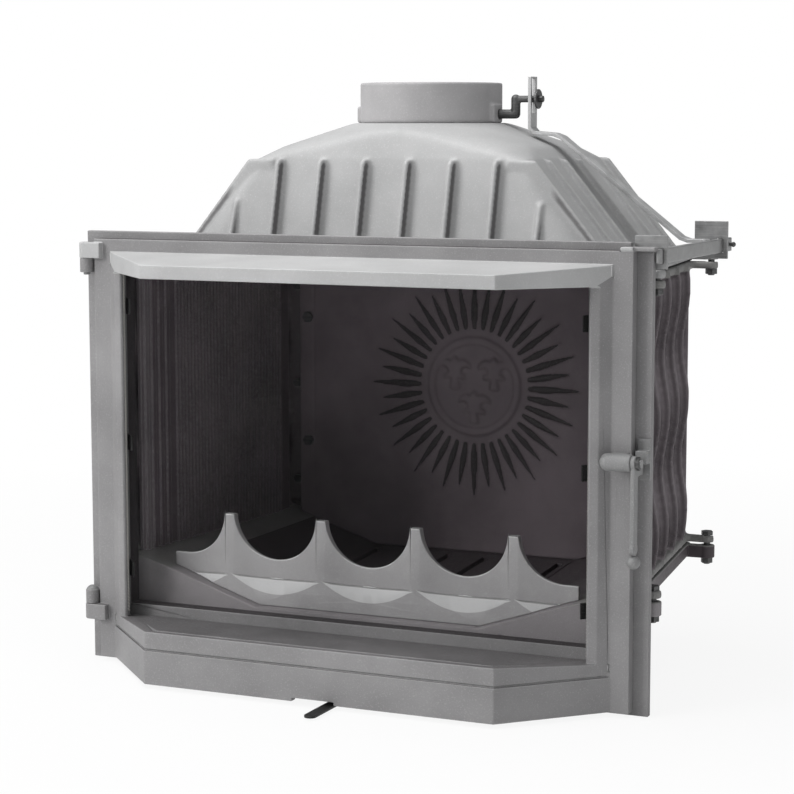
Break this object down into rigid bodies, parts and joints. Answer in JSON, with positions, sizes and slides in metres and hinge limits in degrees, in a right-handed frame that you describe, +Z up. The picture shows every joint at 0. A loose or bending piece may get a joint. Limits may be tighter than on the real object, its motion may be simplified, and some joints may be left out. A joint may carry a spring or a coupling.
{
  "type": "fireplace insert",
  "caption": "Bay-fronted cast-iron fireplace insert with a hinged glass door, log retainer, finned smoke dome and a flue damper that the door drives.",
  "frame": {"origin": "On the ground, in the middle of the base's resting face, under the axis of the flue.", "axes": "+Z up along the flue axis, +X to the right as seen from the room, -Y towards the room through the door."},
  "size_m": [0.7189, 0.551, 0.6939],
  "materials": {
    "facade_iron": "light grey cast iron with a fine sand grain",
    "dome_iron": "pale grey cast iron with a fine sand grain",
    "body_iron": "dark grey cast iron",
    "inner_iron": "anthracite cast iron, matt",
    "retainer_iron": "grey cast iron with a fine sand grain",
    "lever_iron": "light grey cast iron, worn smooth",
    "dark_steel": "dark rolled steel",
    "black_steel": "black stove paint",
    "steel": "grey rolled steel",
    "gasket": "black fire cement and fibre tape",
    "rope": "woven glass-fibre rope",
    "pane": "clear ceramic glass"
  },
  "bodies": {
    "firebox": {"facade": "facade_iron", "hearth": "inner_iron", "grate": "inner_iron", "ash_box": "body_iron", "base_gasket": "gasket", "side_wall_left": "body_iron", "side_wall_right": "body_iron", "back_wall": "body_iron", "back_wall_bolts": "dark_steel", "side_liner_left": "inner_iron", "side_liner_right": "inner_iron", "fireback": "inner_iron", "fireback_bolts": "dark_steel", "baffle_plate": "inner_iron", "log_retainer": "retainer_iron", "dome_gasket": "gasket", "dome": "dome_iron", "flue_collar": "dome_iron", "facade_bolts": "dark_steel", "lower_ear_bolts": "dark_steel", "lower_ear_nuts": "dark_steel", "upper_ear_bolts": "dark_steel", "upper_ear_nuts": "dark_steel", "hinge_knuckles": "facade_iron", "hinge_pins": "steel", "latch_keeper": "facade_iron", "front_bar_guide": "facade_iron", "rear_bar_guide": "facade_iron", "guide_rivets": "steel", "air_slide_guides": "dark_steel"},
    "ash_drawer": {"ash_pan": "dark_steel"},
    "air_control": {"air_slide": "dark_steel", "air_lever": "black_steel"},
    "door": {"door_frame": "facade_iron", "door_glass": "pane", "glass_seal": "rope", "door_rope_seal": "rope", "glass_clips": "steel", "clip_screws": "steel", "latch_housing": "facade_iron"},
    "latch": {"latch_spindle": "steel", "latch_lever": "lever_iron", "latch_knob": "lever_iron", "latch_nut": "steel"},
    "damper": {"damper_disc": "body_iron", "damper_spindle": "steel", "crank_washer": "steel"},
    "damper_link": {"push_bar": "dark_steel", "link_strip": "steel", "bar_split_pin": "steel"}
  },
  "joints": [
    {"name": "door_hinge", "type": "hinge", "parent": "firebox", "child": "door", "pos_m": [-0.342, -0.232, 0.28], "axis": [0, 0, -1], "range_deg": [0, 110]},
    {"name": "latch_turn", "type": "hinge", "parent": "door", "child": "latch", "pos_m": [0.33, -0.247, 0.282], "axis": [-1, 0, 0], "range_deg": [0, 80]},
    {"name": "damper_link_slide", "type": "slide", "parent": "firebox", "child": "damper_link", "axis": [0, -1, 0], "range_m": [0, 0.0168]},
    {"name": "damper_turn", "type": "hinge", "parent": "firebox", "child": "damper", "pos_m": [0, 0, 0.6504], "axis": [1, 0, 0], "range_deg": [0, 70]},
    {"name": "air_lever_slide", "type": "slide", "parent": "firebox", "child": "air_control", "axis": [-1, 0, 0], "range_m": [0, 0.035]},
    {"name": "ash_pan_slide", "type": "slide", "parent": "firebox", "child": "ash_drawer", "axis": [0, -1, 0], "range_m": [0, 0.08]}
  ],
  "couplings": [
    {"joint": "damper_link_slide", "follows": "door_hinge", "m_per_rad": 0.00875},
    {"joint": "damper_turn", "follows": "door_hinge", "ratio": 0.63636}
  ]
}
